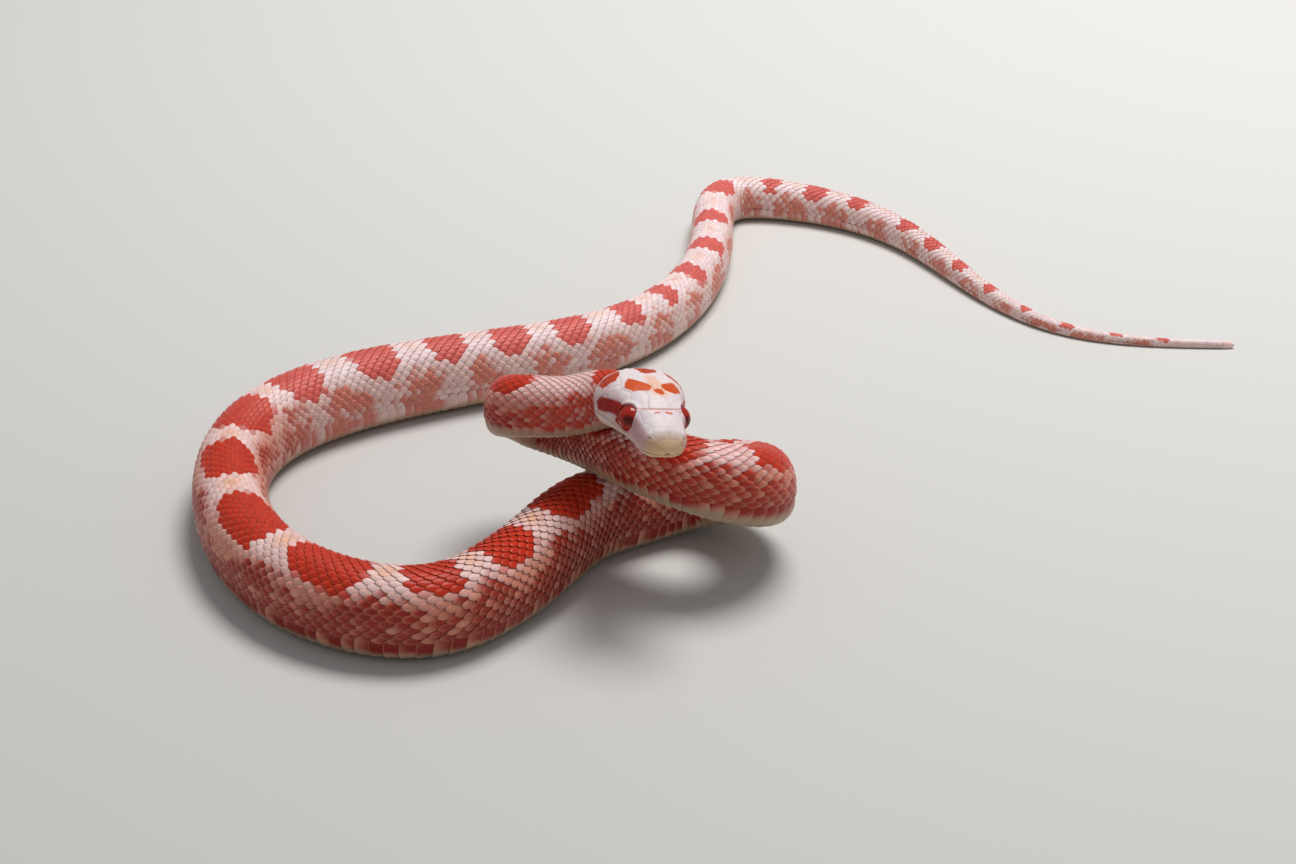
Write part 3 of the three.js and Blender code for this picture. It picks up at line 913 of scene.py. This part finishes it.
def build_scales(scales, name, material):
    """One joined coat piece of solid, overlapping scales."""
    along, across, rise, quads, tris = scale_form()
    s0, g0, spacing, step = (scales[:, k:k + 1] for k in range(4))
    count = len(scales)
    jitter = 1 + rng.uniform(-LENGTH_VARIES, LENGTH_VARIES, (count, 1))
    girth_of_mm = 1 / (HALF_GIRTH * width_at(s0))
    s = s0 + along * step * SCALE_LENGTH / 2 * jitter
    girth = g0 + across * spacing * SCALE_WIDTH / 2 * girth_of_mm
    depth = coat_depth(s0)
    lean = (along + 1) / 2
    keel = KEEL.high * bell(across, KEEL.wide) * (1 - smoothstep(*KEEL.ends, np.abs(g0)))
    keel = keel * (rise > KEEL.from_rise)
    height = depth * (TIP_RISES * lean - ROOT_SINKS) + SCALE_DOME * spacing * (rise + keel)
    tilt = rng.uniform(-TILT_VARIES, TILT_VARIES, (count, 1)) * spacing
    points, _ = surface(s, girth, height + tilt * lean)

    grain = rng.uniform(-1, 1, (count, 1))
    base, red = body_marking(s0, g0, grain, along)
    shade = 1 + BRIGHTNESS_VARIES * rng.uniform(-1, 1, (count, 1, 1))
    edge_share = np.clip(1 - rise, 0, 1) ** EDGE.power
    flank = smoothstep(*EDGE.flank, np.abs(g0))
    front = 1 - EDGE.rear_paler * smoothstep(*EDGE.rear, s0)
    pale_edge = mix(WHITE, FLANK_RED, (EDGE.pale_red + EDGE.flank_red * flank) * front)
    # A red scale's paler rim, strongest toward its tip: partly its own colour and partly a painted
    # highlight
    red_edge_and_highlight = mix(SADDLE_EDGE_AND_HIGHLIGHT, FLANK_PALE, EDGE.flank_pale * flank)
    trailing = blend(1, blend(EDGE.root_share, 1, lean), red)
    strength = EDGE.strength + EDGE.red_more * red
    colours = mix(base * shade, mix(pale_edge, red_edge_and_highlight, red), strength * edge_share * trailing)
    patches = skin_patch(s0, g0) + PATCH / 2 * np.stack([along, across], -1)
    return make_mesh(name, points, repeated((quads, tris), len(along), count), colours, material, patches)


def scute_rows():
    """Where each scute of the belly begins, with its step."""
    fine, count, spacing = row_ticks(SCUTES_FROM, LENGTH - LAST_SCUTES)
    s = np.interp(np.arange(int(count[-1])) + 0.5, count, fine)
    return np.stack([s, ROW_STEP * np.interp(s, fine, spacing)], -1)


def build_scutes(rows, spans, name, material):
    """Broad plates across the belly. spans gives the girth that each covers, as from and to."""
    v = np.sin(np.linspace(-math.pi / 2, math.pi / 2, SCUTE_STATIONS))
    across = np.abs(v)[None, :, None]
    along = SCUTE_PROFILE[None, None, :, 0]
    rise = SCUTE_PROFILE[None, None, :, 1]
    points, colours, patches = [], [], []
    s0, step = rows[:, 0][:, None, None], rows[:, 1][:, None, None]
    depth = coat_depth(s0)
    grain = rng.uniform(-1, 1, (len(rows), 1, 1))
    for low, high in spans:
        girth = (low + high) / 2 + v * (high - low) / 2
        bow = SCUTE.bow * (1 - across ** 2)
        rounding = 1 - SCUTE.end_rounding * across ** SCUTE.end_power
        s = s0 + step * (SCUTE.half_length * along * rounding + bow - SCUTE.back)
        fade = 1 - SCUTE.end_sinks * across ** SCUTE.sink_power
        height = depth * (SCUTE.height * rise * fade - 1)
        none = 0 * s
        g = girth[None, :, None] + none
        spot, _ = surface(s, g, height)
        points.append(spot)
        wrapped = (g + 1) % 2 - 1
        tone, red = body_marking(s0 + none, wrapped, grain + none, along)
        rim = (along > SCUTE.rim_from) * (SCUTE.rim + SCUTE.rim_on_red * red)
        rim_colour = mix(BELLY_CREAM_PAINTED_SHADE * SCUTE.rim_shade + 0 * spot, FLANK_PALE, red)
        colours.append(mix(tone, rim_colour, rim))
        place = np.stack([along + none, v[None, :, None] + none], -1)
        patches.append(skin_patch(s0 + none, g) + PATCH / 2 * place)
    size = len(SCUTE_PROFILE)
    i, j = ring_pairs(size)
    strip = np.stack([i, j, size + j, size + i], -1)
    strips = [strip + station * size for station in range(SCUTE_STATIONS - 1)]
    fan = np.array([(0, k + 1, k) for k in range(1, size - 1)])
    last = (SCUTE_STATIONS - 1) * size
    caps = np.vstack([fan, last + fan[:, ::-1]])
    points_each = size * SCUTE_STATIONS
    faces = repeated((np.vstack(strips), caps), points_each, len(rows) * len(spans))
    joined = [
        np.concatenate([np.reshape(a, (len(rows) * points_each, -1)) for a in group])
        for group in (points, colours, patches)
    ]
    return make_mesh(name, joined[0], faces, joined[1], material, joined[2])


# Materials

def new_material(name):
    material = bpy.data.materials.new(name)
    material.use_nodes = True
    nodes = material.node_tree.nodes
    return material, nodes, material.node_tree.links, nodes["Principled BSDF"]


def set_inputs(node, values):
    for name, value in values.items():
        node.inputs[name].default_value = value


def add(nodes, kind, **settings):
    node = nodes.new(kind)
    for key, value in settings.items():
        if key in node.inputs:
            node.inputs[key].default_value = value
        else:
            setattr(node, key, value)
    return node


def ranged(nodes, links, noise, low, high):
    """A noise's value, moved to run from low to high."""
    node = add(nodes, "ShaderNodeMapRange", **{"To Min": low, "To Max": high})
    links.new(noise.outputs["Fac"], node.inputs["Value"])
    return node.outputs["Result"]


def noise_of(nodes, links, place, grain, **settings):
    """Noise in the object's own space, of a grain in millimetres."""
    noise = add(nodes, "ShaderNodeTexNoise", Scale=1 / (grain * MM), **settings)
    links.new(place.outputs["Object"], noise.inputs["Vector"])
    return noise


def colour_by_marking(nodes, links, shader, noise, low, high):
    """The mesh's own markings, made darker and lighter by noise."""
    marking = add(nodes, "ShaderNodeVertexColor", layer_name="Marking")
    shaded = add(nodes, "ShaderNodeVectorMath", operation="SCALE")
    links.new(marking.outputs["Color"], shaded.inputs[0])
    links.new(ranged(nodes, links, noise, low, high), shaded.inputs["Scale"])
    links.new(shaded.outputs["Vector"], shader.inputs["Base Color"])


def hide_material(name, roughness, bump, grain):
    """Scaly hide: the markings from the mesh, faint mottling, uneven gloss and fine bump."""
    material, nodes, links, shader = new_material(name)
    place = add(nodes, "ShaderNodeTexCoord")
    mottle = noise_of(nodes, links, place, 0.9, Detail=3.0, Roughness=0.6)
    colour_by_marking(nodes, links, shader, mottle, 0.86, 1.14)
    gloss = ranged(nodes, links, mottle, roughness - 0.08, roughness + 0.10)
    links.new(gloss, shader.inputs["Roughness"])
    fine = noise_of(nodes, links, place, grain, Detail=2.0)
    bumped = add(nodes, "ShaderNodeBump", Strength=bump, Distance=0.05 * MM)
    links.new(fine.outputs["Fac"], bumped.inputs["Height"])
    links.new(bumped.outputs["Normal"], shader.inputs["Normal"])
    set_inputs(shader, {
        "Specular IOR Level": 0.22, "Subsurface Weight": 0.12, "Subsurface Radius": (1.0, 0.35, 0.2),
        "Subsurface Scale": 0.5 * MM,
    })
    return material


def eye_material():
    material, nodes, links, shader = new_material("eye_glossy")
    place = add(nodes, "ShaderNodeTexCoord")
    streaks = noise_of(nodes, links, place, 0.25, Detail=4.0)
    colour_by_marking(nodes, links, shader, streaks, 0.7, 1.3)
    set_inputs(shader, {"Roughness": 0.14, "Specular IOR Level": 0.3})
    return material


# Eyes

PUPIL = rgb(0.13, 0.005, 0.004)
IRIS = rgb(0.42, 0.020, 0.010)
IRIS_RIM = rgb(0.28, 0.012, 0.008)
# The way an eye looks: outward, forward and up
GAZE = (0.52, 0.78, 0.27)
# Angles off the gaze at which the pupil ends and the iris darkens, and the bulge over the pupil
PUPIL_ENDS = (0.30, 0.52)
IRIS_DARKENS = (0.95, 1.25)
BULGE = Named(high=0.035, wide=0.5)
EYE_RINGS = 36
EYE_SIDES = 48


def build_eye(side, material):
    """A ball with a round pupil that looks forward, outward and a little up."""
    point, tangent, back, left, _ = spine_frame(np.array([EYE.along]))
    middle = point[0] + side * EYE.aside * left[0] + EYE.above * back[0]
    gaze = unit(GAZE[0] * side * left[0] - GAZE[1] * tangent[0] + GAZE[2] * back[0])
    across = unit(np.cross(gaze, back[0]))
    upward = np.cross(across, gaze)
    polar = np.linspace(0, math.pi, EYE_RINGS + 1)[1:-1]
    turn = np.arange(EYE_SIDES) * 2 * math.pi / EYE_SIDES
    tilt, spin = np.meshgrid(polar, turn, indexing="ij")
    bulge = 1 + BULGE.high * bell(tilt, BULGE.wide)
    local = np.stack([np.sin(tilt) * np.cos(spin), np.sin(tilt) * np.sin(spin), np.cos(tilt) * bulge], -1)
    local = np.concatenate([local.reshape(-1, 3), [[0, 0, 1 + BULGE.high], [0, 0, -1]]])
    axes = np.stack([across, upward, gaze])
    points = middle + EYE.radius * local @ axes
    tilts = np.concatenate([tilt.ravel(), [0, math.pi]])
    colours = mix(PUPIL + np.zeros((len(tilts), 1)), IRIS, smoothstep(*PUPIL_ENDS, tilts))
    colours = mix(colours, IRIS_RIM, smoothstep(*IRIS_DARKENS, tilts))
    i, j = ring_pairs(EYE_SIDES)
    first = np.stack([i, EYE_SIDES + i, EYE_SIDES + j, j], -1)
    quads = np.vstack([first + r * EYE_SIDES for r in range(EYE_RINGS - 2)])
    front, rear = len(points) - 2, len(points) - 1
    base = (EYE_RINGS - 2) * EYE_SIDES
    tris = np.vstack([
        np.stack([np.full(EYE_SIDES, front), i, j], -1),
        np.stack([base + j, base + i, np.full(EYE_SIDES, rear)], -1),
    ])
    name = "eyeball_left" if side > 0 else "eyeball_right"
    return make_mesh(name, points, [quads, tris], colours, material)


# The pieces on the frame

hide = hide_material("hide_scales", 0.36, 0.25, 0.12)
skin_hide = hide_material("hide_skin", 0.40, 0.35, 0.10)
belly_hide = hide_material("hide_belly", 0.32, 0.2, 0.15)
glossy_eye = eye_material()

EYE_NODES = {"eye_left": 1, "eye_right": -1}
skin = build_skin(skin_hide)
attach(skin, "root")
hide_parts(*[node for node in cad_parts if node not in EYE_NODES])

for node, side in EYE_NODES.items():
    eye = build_eye(side, glossy_eye)
    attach(eye, "root")
    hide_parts(node)

# Coat pieces, and where along the spine each begins
COAT_PIECES = (
    ("scales_neck", 0), ("scales_front_coil", 60), ("scales_loop_front", 120), ("scales_loop_back", 190),
    ("scales_trunk_rear", 250), ("scales_tail", 318),
)
scales = scale_lattice()
piece_ends = [start for _, start in COAT_PIECES[1:]] + [LENGTH + 1]
for (name, start), end in zip(COAT_PIECES, piece_ends):
    chosen = scales[(scales[:, 0] >= start) & (scales[:, 0] < end)]
    coat = build_scales(chosen, name, hide)
    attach(coat, "root")

scutes = scute_rows()
trunk_scutes = scutes[scutes[:, 0] < VENT_AT]
tail_scutes = scutes[scutes[:, 0] >= VENT_AT]
# The scutes reach a little under the back's scales, and paired ones a little past the belly's middle
first_edge = BELLY_EDGE - 0.02
last_edge = 2 - first_edge
past_middle = 0.012
whole = ((first_edge, last_edge),)
paired = ((first_edge, 1 + past_middle), (1 - past_middle, last_edge))
for name, rows, spans in (("belly_scutes", trunk_scutes, whole), ("tail_scutes", tail_scutes, paired)):
    belly = build_scutes(rows, spans, name, belly_hide)
    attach(belly, "root")


# Floor, light and camera

def build_floor():
    material, _, _, shader = new_material("floor_pale")
    set_inputs(shader, {"Base Color": (0.66, 0.66, 0.65, 1), "Roughness": 0.8})
    mesh = bpy.data.meshes.new("floor")
    half = 2.5
    corners = [(-half, -half, 0), (half, -half, 0), (half, half, 0), (-half, half, 0)]
    mesh.from_pydata(corners, [], [(0, 1, 2, 3)])
    mesh.materials.append(material)
    floor = new_object("floor", mesh)


def direction_angles(toward):
    """Euler angles that turn a lamp's -Z along a direction."""
    x, y, z = toward / np.linalg.norm(toward)
    return (math.acos(max(-1, min(1, -z))), 0, math.atan2(x, -y) if abs(x) + abs(y) > 1e-9 else 0)


def add_light(name, place, target, size, power, colour):
    light = bpy.data.lights.new(name, "AREA")
    light.shape = "DISK"
    light.size = size
    light.energy = power
    light.color = colour
    lamp = new_object(name, light)
    lamp.location = place
    lamp.rotation_euler = direction_angles(np.array(target) - np.array(place))


def build_world():
    world = bpy.data.worlds.new("studio")
    world.use_nodes = True
    set_inputs(world.node_tree.nodes["Background"], {"Color": (0.95, 0.97, 1, 1), "Strength": 0.30})
    bpy.context.scene.world = world


# The camera's place among the stations, how far down it looks in degrees, and its lens
CAMERA = Named(place=(-14, -307, 158), down=28, lens=66.667, sensor=36)


def build_camera():
    camera = bpy.data.cameras.new("camera")
    camera.sensor_width = CAMERA.sensor
    camera.lens = CAMERA.lens
    camera.clip_start = 0.01
    holder = new_object("camera", camera)
    holder.location = (np.array(CAMERA.place) - BOX_MIDDLE) * MM
    holder.rotation_euler = (math.radians(90 - CAMERA.down), 0, 0)
    bpy.context.scene.camera = holder


bpy.context.scene.view_settings.view_transform = "Standard"
build_floor()
build_world()
add_light("key", (0.12, 0.18, 0.6), (0, -0.01, 0), size=0.35, power=4.4, colour=(1, 0.97, 0.93))
add_light("fill", (0.35, -0.35, 0.35), (0, -0.02, 0.01), size=0.4, power=0.6, colour=(0.95, 0.97, 1))
build_camera()
